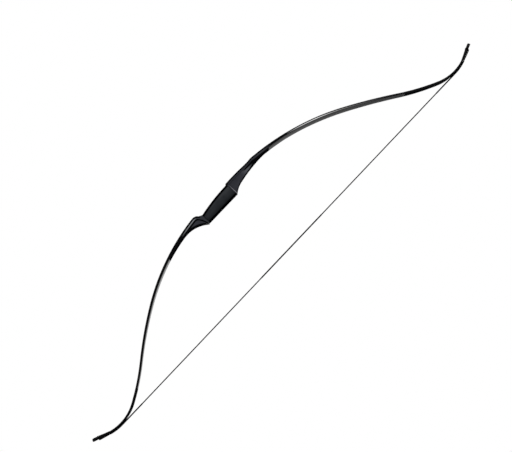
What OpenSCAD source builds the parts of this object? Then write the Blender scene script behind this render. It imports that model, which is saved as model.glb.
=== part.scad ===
// One-piece recurve bow, strung and at rest.
// +Z runs up along the string, -X points at the target, -Y is the archer's left.
// The origin is the throat of the grip: the middle of its rear face.
// The limbs bend about an axis at the end of each fade, where the riser's wedge runs out.

/* [Limb Curves] */
// Depth from the grip's rear face to the back of the bow above the shelf
upper_front = 41.2; // [39:0.2:43]
// Depth from the grip's rear face to the back of the bow at the lower hump
lower_front = 38.8; // [37.5:0.1:40.5]
// Height where the upper limb's curve starts
upper_start_z = 84; // [74:1:94]
// Depth below the origin where the lower limb's curve starts
lower_start_z = 92; // [86:1:100]
// Lean of the back line where the upper curve starts, in degrees
upper_lean = 1.9; // [1:0.1:2.8]
// Lean of the back line where the lower curve starts, in degrees
lower_lean = 5.7; // [4.5:0.1:6.5]
// Length of the upper limb's inner curve
upper_inner_len = 327; // [305:1:350]
// Radius of the upper limb's inner curve
upper_inner_radius = 679; // [620:1:740]
// Length of the lower limb's inner curve
lower_inner_len = 251; // [230:1:270]
// Radius of the lower limb's inner curve
lower_inner_radius = 609; // [560:1:660]
// Length of each limb's straighter outer curve
outer_len = 148; // [136:1:160]
// Radius of the upper limb's outer curve
upper_outer_radius = 1618; // [1400:1:1900]
// Radius of the lower limb's outer curve
lower_outer_radius = 1059; // [950:1:1180]
// Length of the easing curve that leads into the recurve
ease_len = 112; // [100:1:124]
// Radius of the easing curve, which bends the other way
ease_radius = 628; // [560:1:700]
// Radius of the recurve, on the back of the limb
recurve_radius = 120; // [110:1:130]
// Length of limb from where the string first touches it to the string notches
wrap_len = 69; // [64:1:76]
// Radius of the flatter stretch that the loop's legs lie on, out to the end
tip_radius = 700; // [500:10:1200]
// Arc length from the start of the upper curve to the end of its fade
upper_fade_len = 92; // [88:1:100]
// Arc length from the start of the lower curve to the end of its fade
lower_fade_len = 54; // [50:1:60]

/* [Limb Section] */
// Width of a limb beside the fade
limb_w = 42; // [38:1:46]
// Length of a limb that keeps its full width
full_width_len = 165; // [140:5:220]
// Thickness of a limb at the end of the fade
root_t = 9; // [8:0.1:10]
// Thickness of a limb a little past the fade
mid_t = 7.4; // [6.8:0.1:7.9]
// Thickness of a limb where the recurve starts
ease_t = 6; // [5.4:0.1:6.6]
// Thickness of a limb along the recurve
tip_t = 4.2; // [3.8:0.1:4.6]
// Length over which the root thins down
thin_len = 60; // [45:1:80]
// Thickness of the glass on each face
glass_t = 0.9; // [0.7:0.1:1.2]

/* [Tips] */
// Length of limb beyond the string notches
tip_len = 17; // [15:0.5:19]
// Width of a limb at the string notches
nock_w = 13; // [12:0.5:15]
// Width of the bulb beyond the string notches
bulb_w = 15; // [14.5:0.5:17]
// Radius of a string notch
notch_r = 2.6; // [2.5:0.1:3]
// Thickness of the tip overlay
overlay_t = 3.4; // [3:0.1:4.2]
// Length of tip overlay on the riser's side of the notches
overlay_lead = 34; // [31:1:40]
// Length of the ramp at the inner end of the tip overlay
overlay_ramp = 30; // [20:1:30]
// Depth of the groove in the overlay that the string's loop crosses in
groove_depth = 2.2; // [1.4:0.1:2.4]

/* [String] */
// Radius of the bundle of strands
strand_r = 1.5; // [1.3:0.05:1.6]
// Thickness of the serving thread round the strands
serving_t = 0.3; // [0.2:0.05:0.4]
// Radius of the served loop
loop_r = 1.5; // [1.3:0.05:1.6]
// Length of the loop's two legs, from the notches to where they join
throat_len = 33; // [28:0.5:38]
// Length of end serving on the free string
end_serving_len = 75; // [60:1:100]
// Height of the nocking point
nocking_z = 45; // [42:1:52]
// Length of centre serving above the nocking point
serving_above = 105; // [80:1:130]
// Length of centre serving below the nocking point
serving_below = 125; // [100:1:150]

/* [Riser] */
// Height of the arrow shelf
shelf_z = 39.5; // [37:0.5:42]
// Distance from the centre plane to the sight window
window_y = 3; // [1:0.5:6]
// Height of the sight window's straight part
window_h = 62; // [50:1:72]
// Radius of the window's run-out
runout_radius = 26; // [20:1:32]
// Turn of the window's run-out, in degrees
runout_turn = 60; // [50:1:70]
// Width of the riser at the shelf and at the foot of the grip
throat_w = 34; // [32:1:37]
// How far the riser's sides stand in from the lower strip's edges
wedge_inset = 2.5; // [1.5:0.1:3.5]
// Radius of the lower hump's nose
hump_r = 20; // [18:0.5:23]
// Radius of the hollow just above the shelf
upper_throat_radius = 72; // [64:1:80]
// Turn of the hollow just above the shelf, in degrees
upper_throat_turn = 28.5; // [26:0.5:31]
// Radius of the upper ramp
upper_ramp_radius = 429; // [390:1:470]
// Turn of the upper ramp, in degrees
upper_ramp_turn = 11.7; // [11:0.1:12.4]
// Radius of the lower ramp
lower_ramp_radius = 80; // [74:1:86]
// Turn of the lower ramp, in degrees
lower_ramp_turn = 45; // [42:0.5:48]

/* [Grip] */
// Height of the grip's foot, below the origin
grip_foot_z = 66; // [62:1:70]
// Width of the grip in the middle
grip_w = 33; // [31:0.5:36]
// Width of the grip at its foot
foot_w = 31; // [29:0.5:33]
// Depth of the grip at its foot
foot_depth = 27.8; // [26:0.2:30]
// Depth of the grip in the middle
waist_depth = 35.2; // [33:0.2:37]
// Depth of the grip at its top
head_depth = 37.4; // [36:0.2:39]
// Radius of the grip's long edges at the front
grip_front_r = 11; // [8:0.5:13]
// Radius of the grip's long edges at the rear
grip_rear_r = 8; // [6:0.5:10]
// Thickness of the grip sleeve, front and rear
sleeve_t = 4; // [3:0.2:5]
// Width of the riser's core inside the grip
core_w = 21; // [18:0.5:22]
// Thickness of the collar that carries the shelf
collar_t = 4; // [3:0.5:6]
// How far the collar stands proud of the grip
collar_lip = 1.1; // [0.7:0.1:1.6]

/* [Hidden] */

$fn = 48;
// Greatest length of a straight step along a curve
step = 9;
// Running gap round the root of a limb
knuckle_gap = 0.5;
// Gap between the string and what it lies on
cord_gap = 0.3;
// Gap between two lengths of string that meet
butt_gap = 0.2;
// Gap between the strands and the serving round them
thread_gap = 0.05;
// Gap between two pieces that are fitted together
fit_gap = 0.1;
// Overshoot of a cut past the face that it opens
cut = 1;
// Reach of a cut that has no far wall
far = 60;
// Radius that stands for a straight line in a list of arcs
straight = 1e6;
// Thickness of the flange under the grip's foot, at its rear corner
flange_t = 3;
// Height of the step that the upper strip stands on, and of the overlay's thin end
toe_h = 0.6;
// Distance from a ramp's corner to the start of its glass
glass_lead = 6;
// Turn of the lower hump's nose, inside and outside, and the angle between its steps, in degrees
nose_turn = 78;
outer_turn = 54;
nose_step = 6;
// How far past the lower curve's start the riser reaches its full width
lower_widening = 6;
// Steps in the riser's change of width
widening_steps = 8;
// Power of the limb's taper: 1 is straight, more keeps it wide for longer
taper_power = 1.15;
// Radius of the string where it is served
serving_r = strand_r + thread_gap + serving_t;
// Radius of the string's centre line where it lies on the recurve
wrap_r = recurve_radius + tip_t + cord_gap + serving_r;

// Colours
GLASS = "#17181a";
CORE = "#5b4a3a";
RISER = "#2b2d30";
RUBBER = "#3a3b40";
CORD = "#101012";
THREAD = "#1c1c20";

// Curves in the side view: points are [x, z] and headings lean from +Z towards the string

function degrees(arc, r) = arc / r * 180 / PI;
function arc_len(r, turn) = r * turn * PI / 180;

// The point and heading at the end of one arc of signed radius r
function arc_end(p, lean, go, r) =
    let(after = lean + degrees(go, r))
    [[p.x + r * (cos(lean) - cos(after)), p.y + r * (sin(after) - sin(lean))], after];

// The point and heading at arc length u along a chain of [length, radius] arcs
function walk(arcs, u, p, lean, i = 0) =
    let(go = i < len(arcs) - 1 ? min(u, arcs[i][0]) : u,
        end = arc_end(p, lean, go, arcs[i][1]))
    go < u ? walk(arcs, u - go, end[0], end[1], i + 1) : end;

// Even stations from u0 to u1, no further apart than a step
function stations(u0, u1) =
    let(n = ceil((u1 - u0) / step))
    [for (i = [0:n]) u0 + (u1 - u0) * i / n];

function backward(list) = [for (i = [len(list) - 1:-1:0]) list[i]];
function smooth(t) = let(s = max(0, min(1, t))) s * s * (3 - 2 * s);

// A limb: [start, lean, arcs, then the stations of its fade, recurve, contact, notch and end]
function limb(front, start_z, lean, inner_len, inner_radius, outer_radius, fade_len) =
    let(start = [-front, start_z],
        led = [[inner_len, inner_radius], [outer_len, outer_radius], [ease_len, -ease_radius]],
        u_recurve = inner_len + outer_len + ease_len,
        u_contact = u_recurve + arc_len(recurve_radius, walk(led, u_recurve, start, lean)[1]),
        u_nock = u_contact + wrap_len,
        arcs = concat(led, [[u_nock - throat_len - u_recurve, -recurve_radius],
            [throat_len + tip_len, -tip_radius]]))
    [start, lean, arcs, fade_len, u_recurve, u_contact, u_nock, u_nock + tip_len];

UPPER = limb(upper_front, upper_start_z, upper_lean, upper_inner_len, upper_inner_radius,
    upper_outer_radius, upper_fade_len);
LOWER = limb(lower_front, lower_start_z, lower_lean, lower_inner_len, lower_inner_radius,
    lower_outer_radius, lower_fade_len);

function fade(l) = l[3];
function recurve(l) = l[4];
function contact(l) = l[5];
function nock(l) = l[6];
function end(l) = l[7];
function lean_at(l, u) = walk(l[2], u, l[0], l[1])[1];

// A point off the back line at station u; off is positive towards the string
function spot(l, u, off) =
    let(here = walk(l[2], u, l[0], l[1]))
    here[0] + off * [cos(here[1]), -sin(here[1])];

function thick(l, u) = lookup(u, [
    [fade(l), root_t], [fade(l) + thin_len, mid_t], [recurve(l), ease_t], [contact(l), tip_t]]);

// Depth of a boundary between layers: back, back glass, belly glass, belly
function layer(l, u, k) = [0, glass_t, thick(l, u) - glass_t, thick(l, u)][k];

// Outline of the limb between two of its layer boundaries
function band(l, u0, u1, k0, k1) =
    let(us = stations(u0, u1))
    concat([for (u = us) spot(l, u, layer(l, u, k0))],
        [for (u = backward(us)) spot(l, u, layer(l, u, k1))]);

// Outline of a zone between two fixed distances from the back line
function zone(l, u0, u1, off0, off1) =
    let(us = stations(u0, u1))
    concat([for (u = us) spot(l, u, off0)], [for (u = backward(us)) spot(l, u, off1)]);

// Where the recurve's circle has its centre, and the string's lean from +Z
function centre(l) = spot(l, recurve(l), -recurve_radius);
string_lean = atan2(centre(UPPER).x - centre(LOWER).x, centre(UPPER).y + centre(LOWER).y);
function contact_turn(up) = -up * string_lean;
function throat_turn(up) = contact_turn(up) + degrees(wrap_len - throat_len, recurve_radius);
// The string's own points, in the X-Z plane
function contact_point(l, up) =
    let(c = centre(l), a = contact_turn(up))
    [c.x + wrap_r * cos(a), up * (c.y + wrap_r * sin(a))];
low_contact = contact_point(LOWER, -1);
high_contact = contact_point(UPPER, 1);
nocking_x = low_contact.x
    + (high_contact.x - low_contact.x) * (nocking_z - low_contact.y) / (high_contact.y - low_contact.y);

// Prisms

// A side outline, drawn as [x, z], made w wide across the bow
module side_prism(outline, w = limb_w + 2) {
    rotate([90, 0, 0]) linear_extrude(height = w, center = true) polygon(outline);
}

// A front outline, drawn as [y, z], made deep enough to cut the whole bow
module front_prism(outline) {
    translate([-far - upper_front, 0, 0]) rotate([90, 0, 90])
        linear_extrude(height = 2 * far + upper_front + contact_point(UPPER, 1).x) polygon(outline);
}

// Turns the upper half's drawing upside down for the lower half
module half(up) {
    if (up > 0) children();
    else mirror([0, 0, 1]) children();
}

// A cylinder across the bow at a point of the side view
module cross_pin(p, r) {
    translate([p.x, 0, p.y]) rotate([90, 0, 0]) cylinder(r = r, h = limb_w + 2 * cut, center = true);
}

// Limbs

function hinge_point(l) = spot(l, fade(l), root_t / 2);
bulb_r = bulb_w / 2;

// Half the width of a limb at station u
function half_width(l, u) =
    let(full = fade(l) + full_width_len, from_end = end(l) - bulb_r)
    u > from_end ? sqrt(max(0, bulb_r * bulb_r - pow(u - from_end, 2)))
    : u > nock(l) ? nock_w / 2 + (bulb_w - nock_w) / 2 * smooth((u - nock(l)) / (from_end - nock(l)))
    : u > full ? limb_w / 2 + (nock_w - limb_w) / 2 * pow((u - full) / (nock(l) - full), taper_power)
    : limb_w / 2;

// The limb seen from the archer's side, narrowing to a round bulb
module limb_plan(l) {
    us = concat(stations(fade(l) - root_t, end(l) - bulb_r),
        [for (a = [15:15:75]) end(l) - bulb_r + bulb_r * sin(a)]);
    side = [for (u = us) [half_width(l, u), spot(l, u, 0).y]];
    front_prism(concat(side, [[0, spot(l, end(l), 0).y]], [for (p = backward(side)) [-p.x, p.y]]));
}

// The two notches that the string's loop sits in
module notches(l) {
    p = spot(l, nock(l), 0);
    for (side = [-1, 1])
        translate([p.x, side * nock_w / 2, p.y]) rotate([0, 90 + lean_at(l, nock(l)), 0])
            cylinder(r = notch_r, h = 4 * tip_t, center = true);
}

// One layer of a limb, with a round root that turns in the end of the fade
module limb_layer(l, k0, k1) {
    difference() {
        intersection() {
            side_prism(band(l, fade(l) - root_t / 2, end(l), k0, k1));
            limb_plan(l);
            union() {
                cross_pin(hinge_point(l), root_t / 2);
                side_prism(zone(l, fade(l), end(l) + cut, -cut, root_t + cut));
            }
        }
        notches(l);
    }
}

// A hard overlay on the back of the tip, ramped at its inner end
module tip_overlay(l) {
    start = nock(l) - overlay_lead;
    depth_at = function(u) lookup(u, [[start, toe_h], [start + overlay_ramp, overlay_t],
        [end(l) - overlay_t, overlay_t], [end(l), overlay_t / 2]]);
    outline = concat(
        [for (u = stations(start, end(l) - overlay_t)) spot(l, u, -depth_at(u))],
        [spot(l, end(l), -depth_at(end(l)))],
        [for (u = backward(stations(start, end(l)))) spot(l, u, -fit_gap)]);
    difference() {
        intersection() {
            side_prism(outline);
            limb_plan(l);
        }
        notches(l);
        cross_pin(spot(l, nock(l), loop_back), loop_r + cord_gap);
    }
}

// String

function unit(v) = v / norm(v);

// A tube round a closed route, with its rings turned from one reference direction
module closed_tube(route, r, ref, sides = 10) {
    n = len(route);
    rings = [for (i = [0:n - 1])
        let(along = unit(route[(i + 1) % n] - route[(i + n - 1) % n]),
            out = unit(cross(along, ref)),
            over = cross(out, along))
        [for (j = [0:sides - 1]) route[i] + r * (cos(360 * j / sides) * out + sin(360 * j / sides) * over)]];
    points = [for (ring = rings) each ring];
    faces = [for (i = [0:n - 1]) for (j = [0:sides - 1])
        [i * sides + j, i * sides + (j + 1) % sides,
            ((i + 1) % n) * sides + (j + 1) % sides, ((i + 1) % n) * sides + j]];
    polyhedron(points, faces);
}

// A route point by the notch: along the limb, across it, and off its back
function by_nock(l, along, across, off) =
    let(p = spot(l, nock(l) + along, off)) [p.x, across, p.y];

// Depth of the loop's own line where it crosses the groove in the overlay
loop_back = -overlay_t - cord_gap - loop_r + groove_depth;

// The served loop: two legs along the belly, down through the notches and over the overlay
module string_loop(l) {
    y = nock_w / 2;
    belly = tip_t + cord_gap + loop_r;
    turn = loop_r / 3;
    front_half = [[-throat_len + loop_r, loop_r * 0.8, belly], [-throat_len / 2, y * 0.62, belly],
        [-5 * turn, y * 0.93, belly], [-turn, y, belly - turn], [0, y, tip_t - turn],
        [0, y, loop_back + 4 * turn], [0, y - turn, loop_back + turn], [0, y - 4 * turn, loop_back]];
    route = concat([for (p = front_half) by_nock(l, p.x, p.y, p.z)],
        [for (p = backward(front_half)) by_nock(l, p.x, -p.y, p.z)]);
    lean = lean_at(l, nock(l));
    closed_tube(route, loop_r, unit([cos(lean) + sin(lean), 0, cos(lean) - sin(lean)]));
}

// Part of a ring round the recurve's centre, from the contact to the throat of the loop
module tail_bend(l, up, r) {
    c = centre(l);
    gap = degrees(butt_gap / 2, wrap_r);
    translate([c.x, 0, c.y]) rotate([90, 0, 0])
        rotate_extrude(start = contact_turn(up) + gap, angle = throat_turn(up) - contact_turn(up) - gap)
            translate([wrap_r, 0]) circle(r);
}

module end_serving(l, up) {
    difference() {
        tail_bend(l, up, serving_r);
        tail_bend(l, up, strand_r + thread_gap);
    }
}

// Length of the straight string below and above the nocking point
run_len = [for (p = [low_contact, high_contact]) norm(p - [nocking_x, nocking_z]) - butt_gap];

// A length of straight string, from a to b measured away from the nocking point
module run(up, a, b, r) {
    translate([nocking_x, 0, nocking_z]) rotate([0, string_lean + (up > 0 ? 0 : 180), 0])
        translate([0, 0, a]) cylinder(r = r, h = b - a);
}

module serving(up, a, b) {
    difference() {
        run(up, a, b, serving_r);
        run(up, a - cut, b + cut, strand_r + thread_gap);
    }
}

// Riser

// The wedges' rear faces, from the grip's corners out along the limbs
upper_ramp = [[arc_len(upper_throat_radius, upper_throat_turn), upper_throat_radius],
    [arc_len(upper_ramp_radius, upper_ramp_turn), upper_ramp_radius], [far, straight]];
lower_ramp = [[arc_len(lower_ramp_radius, lower_ramp_turn), lower_ramp_radius], [far, straight]];
upper_ramp_lean = -upper_throat_turn - upper_ramp_turn;
lower_ramp_lean = -lower_ramp_turn;
// The lower corner lies under the grip's foot, on the far side of the flange
lower_corner_z = grip_foot_z + flange_t;
// Lengths of ramp drawn, which run out past the strips
upper_ramp_len = upper_ramp[0][0] + upper_ramp[1][0] + far / 2;
lower_ramp_len = lower_ramp[0][0] + far / 2;

// Points along a ramp, set in from its face
function ramp_line(arcs, lean, corner_z, u0, u1, in) =
    [for (u = stations(u0, u1))
        let(here = walk(arcs, u, [0, corner_z], lean))
        here[0] - in * [cos(here[1]), -sin(here[1])]];
function ramp_of(up, u0, in) = up > 0
    ? ramp_line(upper_ramp, upper_ramp_lean, shelf_z, u0, upper_ramp_len, in)
    : ramp_line(lower_ramp, lower_ramp_lean, lower_corner_z, u0, lower_ramp_len, in);

// The wedge between the ramp and the strip, under its glass
module wedge(up) {
    corner = up > 0 ? shelf_z : lower_corner_z;
    ramp = ramp_of(up, glass_lead, glass_t);
    last = ramp[len(ramp) - 1];
    difference() {
        side_prism(concat([[0, corner], ramp_of(up, glass_lead, 0)[0]], ramp,
            [[-far, last.y], [-far, corner]]));
        strip_zone(up);
        cross_pin(hinge_point(up > 0 ? UPPER : LOWER), root_t / 2 + knuckle_gap);
    }
}

module ramp_glass(up) {
    difference() {
        side_prism(concat(ramp_of(up, glass_lead, 0), backward(ramp_of(up, glass_lead, glass_t))));
        strip_zone(up);
        cross_pin(hinge_point(up > 0 ? UPPER : LOWER), root_t / 2 + knuckle_gap);
    }
}

// All that lies in front of a strip's inner face
module strip_zone(up) {
    if (up > 0) side_prism(zone(UPPER, -far, strip_end(UPPER), -far, root_t));
    else {
        side_prism(zone(LOWER, 0, strip_end(LOWER), -far, root_t));
        inner = nose(hump_r - root_t, nose_turn);
        side_prism(concat([[-far, 0], spot(LOWER, 0, -far)], inner, [[0, lower_corner_z], [0, 0]]));
    }
}

// The hump's nose: an arc from the back line round to the top, with its centre behind the line
hump_centre = spot(LOWER, 0, hump_r);
function nose(r, turn) = [for (a = [0:nose_step:turn])
    hump_centre - r * [cos(lower_lean - a), -sin(lower_lean - a)]];

// The length of a strip's line that is drawn, and what lies past the end of the fade
function strip_end(l) = fade(l) + far;
module past_fade(l) {
    side_prism(zone(l, fade(l), strip_end(l) + cut, -cut, root_t + cut));
}

// The strip in front of the upper wedge
module upper_strip() {
    difference() {
        side_prism(zone(UPPER, -far, strip_end(UPPER), 0, root_t));
        past_fade(UPPER);
        cross_pin(hinge_point(UPPER), root_t / 2 + knuckle_gap);
    }
}

// The layer just over the shelf, and the step in it that the upper strip stands on
module toe_layer() {
    translate([-far, -limb_w, shelf_z - cut]) cube([2 * far, 2 * limb_w, toe_h + cut]);
}
module toe() {
    intersection() {
        upper_strip();
        toe_layer();
    }
}

// The strip over the lower hump, which turns in under the grip's foot
module lower_strip() {
    difference() {
        union() {
            side_prism(zone(LOWER, 0, strip_end(LOWER), 0, root_t));
            side_prism(concat(
                backward(nose(hump_r, outer_turn)), nose(hump_r - root_t, nose_turn),
                [[0, lower_corner_z], [0, grip_foot_z], [-foot_depth, grip_foot_z]]));
        }
        past_fade(LOWER);
        cross_pin(hinge_point(LOWER), root_t / 2 + knuckle_gap);
    }
}

// Width of the riser by height: wide at the limbs, narrow at the grip
module riser_plan(up, inset = 0) {
    z0 = up > 0 ? shelf_z : grip_foot_z;
    z1 = up > 0 ? shelf_z + window_h : lower_start_z + lower_widening;
    z2 = far + (up > 0 ? upper_start_z + upper_fade_len : lower_start_z + lower_fade_len);
    widening = [for (i = [0:widening_steps])
        let(t = i / widening_steps)
        [(throat_w + (limb_w - throat_w) * smooth(t)) / 2 - inset, z0 + (z1 - z0) * t]];
    side = concat(widening, [[limb_w / 2 - inset, z2]]);
    front_prism(concat(side, [for (p = backward(side)) [-p.x, p.y]]));
}

// The sight window, cut in from the archer's left with a curved run-out
module window() {
    foot = [-window_y, shelf_z + window_h];
    runout = [for (a = [0:10:runout_turn])
        foot + runout_radius * [cos(a) - 1, sin(a)]];
    last = runout[len(runout) - 1];
    beyond = last + [-limb_w, limb_w / tan(runout_turn)];
    front_prism(concat([[-window_y, shelf_z]], runout, [beyond, [beyond.x, shelf_z]]));
}

// Grip

// A level slab with rounded corners, front at -depth and rear at 0
module slab(z, depth, w, h, front_r, rear_r) {
    for (side = [-1, 1]) {
        translate([-depth + front_r, side * (w / 2 - front_r), z]) cylinder(r = front_r, h = h);
        translate([-rear_r, side * (w / 2 - rear_r), z]) cylinder(r = rear_r, h = h);
    }
}

// The collar over the grip, whose top is the arrow shelf
module collar() {
    depth = head_depth + collar_lip;
    w = throat_w;
    z = shelf_z - collar_t;
    slab(z, depth, w, collar_t, grip_front_r, grip_rear_r);
    translate([-depth + grip_front_r, -w / 2, z]) cube([depth - grip_front_r - grip_rear_r, w, collar_t]);
    translate([-depth, -w / 2 + grip_front_r, z]) cube([depth, w - 2 * grip_front_r, collar_t]);
    translate([-depth / 2, -w / 2 + grip_rear_r, z]) cube([depth / 2, w - 2 * grip_rear_r, collar_t]);
}

// Depth of the flange's underside, which slopes from the inner nose to the grip's rear corner
flange_foot = nose(hump_r - root_t, nose_turn)[floor(nose_turn / nose_step)];
function under_flange(x) = lower_corner_z + (flange_foot.y - lower_corner_z) * x / flange_foot.x;

// The riser's core inside the grip, reaching down through the flange into the lower wedge
module core(gap = 0) {
    rear = -sleeve_t + gap;
    foot = -foot_depth + sleeve_t - gap;
    outline = [
        [rear, -under_flange(rear) - cut / 2], [rear, shelf_z],
        [-head_depth + sleeve_t - gap, shelf_z], [-waist_depth + sleeve_t - gap, (shelf_z - grip_foot_z) / 2],
        [foot, -grip_foot_z], [foot, -under_flange(foot) - cut / 2]];
    side_prism(outline, core_w + 2 * gap);
}

module grip_form() {
    thin = 0.01;
    hull() {
        slab(-grip_foot_z, foot_depth, foot_w, thin, grip_front_r, grip_rear_r, $fn = 32);
        slab((shelf_z - grip_foot_z) / 2, waist_depth, grip_w, thin, grip_front_r, grip_rear_r, $fn = 32);
        slab(shelf_z - collar_t - thin, head_depth, throat_w - 1, thin, grip_front_r, grip_rear_r, $fn = 32);
    }
}

// Sub-parts

module riser_block() {
    color(RISER) union() {
        difference() {
            intersection() {
                union() {
                    wedge(1);
                    toe();
                }
                riser_plan(1);
            }
            window();
        }
        half(-1) intersection() {
            wedge(-1);
            riser_plan(-1, wedge_inset);
        }
        core();
        collar();
    }
}
module upper_back_strip() {
    color(GLASS) difference() {
        intersection() {
            upper_strip();
            riser_plan(1);
        }
        toe_layer();
        window();
    }
}
module lower_back_strip() {
    color(GLASS) difference() {
        half(-1) intersection() {
            lower_strip();
            riser_plan(-1);
        }
        core(fit_gap);
    }
}
module upper_ramp_glass() {
    color(GLASS) difference() {
        intersection() {
            ramp_glass(1);
            riser_plan(1);
        }
        window();
    }
}
module lower_ramp_glass() {
    color(GLASS) half(-1) intersection() {
        ramp_glass(-1);
        riser_plan(-1, wedge_inset);
    }
}
module grip_sleeve() {
    color(RUBBER) difference() {
        grip_form();
        core(fit_gap);
    }
}
module upper_back_glass() { color(GLASS) limb_layer(UPPER, 0, 1); }
module upper_core() { color(CORE) limb_layer(UPPER, 1, 2); }
module upper_belly_glass() { color(GLASS) limb_layer(UPPER, 2, 3); }
module upper_tip_overlay() { color(RISER) tip_overlay(UPPER); }
module upper_string_loop() { color(THREAD) string_loop(UPPER); }
module lower_back_glass() { color(GLASS) half(-1) limb_layer(LOWER, 0, 1); }
module lower_core() { color(CORE) half(-1) limb_layer(LOWER, 1, 2); }
module lower_belly_glass() { color(GLASS) half(-1) limb_layer(LOWER, 2, 3); }
module lower_tip_overlay() { color(RISER) half(-1) tip_overlay(LOWER); }
module lower_string_loop() { color(THREAD) half(-1) string_loop(LOWER); }
module upper_tail_strands() { color(CORD) tail_bend(UPPER, 1, strand_r); }
module upper_end_serving() { color(THREAD) end_serving(UPPER, 1); }
module lower_tail_strands() { color(CORD) half(-1) tail_bend(LOWER, -1, strand_r); }
module lower_end_serving() { color(THREAD) half(-1) end_serving(LOWER, -1); }
module upper_run_strands() { color(CORD) run(1, butt_gap / 2, run_len[1], strand_r); }
module upper_run_serving() { color(THREAD) serving(1, run_len[1] - end_serving_len, run_len[1]); }
module upper_centre_serving() { color(THREAD) serving(1, butt_gap / 2, serving_above); }
module lower_run_strands() { color(CORD) run(-1, butt_gap / 2, run_len[0], strand_r); }
module lower_run_serving() { color(THREAD) serving(-1, run_len[0] - end_serving_len, run_len[0]); }
module lower_centre_serving() { color(THREAD) serving(-1, butt_gap / 2, serving_below); }

riser_block();
upper_back_strip();
lower_back_strip();
upper_ramp_glass();
lower_ramp_glass();
grip_sleeve();
upper_back_glass();
upper_core();
upper_belly_glass();
upper_tip_overlay();
upper_string_loop();
lower_back_glass();
lower_core();
lower_belly_glass();
lower_tip_overlay();
lower_string_loop();
upper_tail_strands();
upper_end_serving();
lower_tail_strands();
lower_end_serving();
upper_run_strands();
upper_run_serving();
upper_centre_serving();
lower_run_strands();
lower_run_serving();
lower_centre_serving();
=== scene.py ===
"""The finished surfaces of a strung recurve bow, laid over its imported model."""
from math import asin, atan2, ceil, cos, degrees, hypot, pi, radians, sin, sqrt, tan

import bmesh
import bpy
from mathutils import Matrix, Vector


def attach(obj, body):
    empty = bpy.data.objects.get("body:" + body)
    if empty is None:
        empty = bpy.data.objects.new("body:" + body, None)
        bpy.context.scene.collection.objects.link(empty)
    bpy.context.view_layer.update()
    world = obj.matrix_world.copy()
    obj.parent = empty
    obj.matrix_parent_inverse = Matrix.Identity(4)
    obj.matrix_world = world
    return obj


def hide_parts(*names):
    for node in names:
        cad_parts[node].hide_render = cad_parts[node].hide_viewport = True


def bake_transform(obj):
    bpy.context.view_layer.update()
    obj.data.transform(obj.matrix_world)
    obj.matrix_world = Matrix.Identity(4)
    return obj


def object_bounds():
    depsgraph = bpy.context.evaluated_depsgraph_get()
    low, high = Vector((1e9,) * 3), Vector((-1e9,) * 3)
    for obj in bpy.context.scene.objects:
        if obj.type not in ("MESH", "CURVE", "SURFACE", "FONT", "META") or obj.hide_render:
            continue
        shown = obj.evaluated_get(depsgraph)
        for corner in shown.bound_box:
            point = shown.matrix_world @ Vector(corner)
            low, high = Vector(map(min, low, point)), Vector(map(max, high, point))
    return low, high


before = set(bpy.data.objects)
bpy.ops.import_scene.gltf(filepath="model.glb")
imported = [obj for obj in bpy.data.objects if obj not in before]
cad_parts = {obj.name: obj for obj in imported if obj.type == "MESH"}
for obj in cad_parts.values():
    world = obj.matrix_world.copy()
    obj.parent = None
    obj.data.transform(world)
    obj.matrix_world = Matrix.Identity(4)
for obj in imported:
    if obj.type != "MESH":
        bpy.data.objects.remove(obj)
cad_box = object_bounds()

# Sizes are in millimetres, as on the maker's drawing, and MM turns them into metres.
MM = 0.001
# An edge between faces that turn by more degrees than this is an arris.
SHARP_FROM = 35
# A hair's breadth, which keeps faces and edges that would coincide apart.
HAIR = 0.02

# Limbs
OUTER_LEN, EASE_LEN, EASE_RADIUS = 148, 112, 628
RECURVE_RADIUS, WRAP_LEN, TIP_LEN, TIP_RADIUS = 120, 69, 17, 700
LIMB_W, FULL_WIDTH_LEN, TAPER_POWER = 42, 165, 1.15
ROOT_T, MID_T, EASE_T, TIP_T, THIN_LEN = 9, 7.4, 6, 4.2, 60
GLASS_T, GLASS_ROUND, SEAM_ROUND, CORE_INSET = 0.9, 0.7, 0.03, 0.12
# The upper band leads the limb by this much, and the lower back glass starts on the hump's nose.
UPPER_LEAD, NOSE_LEAD, LEAD_STEP = 47, 58, 4.5
# The round bulb at the tip is closed by a small flat, this wide at the least.
NOCK_W, BULB_W, NOTCH_R, FLAT_SQUARED, FLAT_HALF = 13, 15, 2.6, 0.3, 0.2
OVERLAY_T, OVERLAY_LEAD, OVERLAY_RAMP, GROOVE_DEPTH = 3.4, 34, 30, 2.2
OVERLAY_EDGE, OVERLAY_ROUND, OVERLAY_SINK = 0.3, 1.2, 0.05
# A point is set this far along the limb past its hinge.
BEND_LEN = 260

# String
STRAND_R, SERVING_R, LOOP_R, CORD_GAP = 1.5, 1.85, 1.5, 0.3
STRAND_BUNDLES, STRAND_TWIST, STRAND_VALLEY, STRAND_CROWN = 8, 28, 0.93, 0.07
STRAND_FACETS, THREAD_FACETS = 32, 16
THROAT_LEN, END_SERVING, SERVING_ABOVE, SERVING_BELOW = 33, 75, 105, 125
END_SERVING_START, SERVING_END_R, SERVING_PAST, PEEL_LEN = -1.5, 0.6, 5, 16
NOCKING_Z = 45
LOOP_BACK = GROOVE_DEPTH - OVERLAY_T - CORD_GAP - LOOP_R
# Real thread lies 0.5 mm apart, and is drawn 0.8 mm apart to show.
THREAD_PITCH, THREAD_DEPTH = 0.8, 0.1

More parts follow.
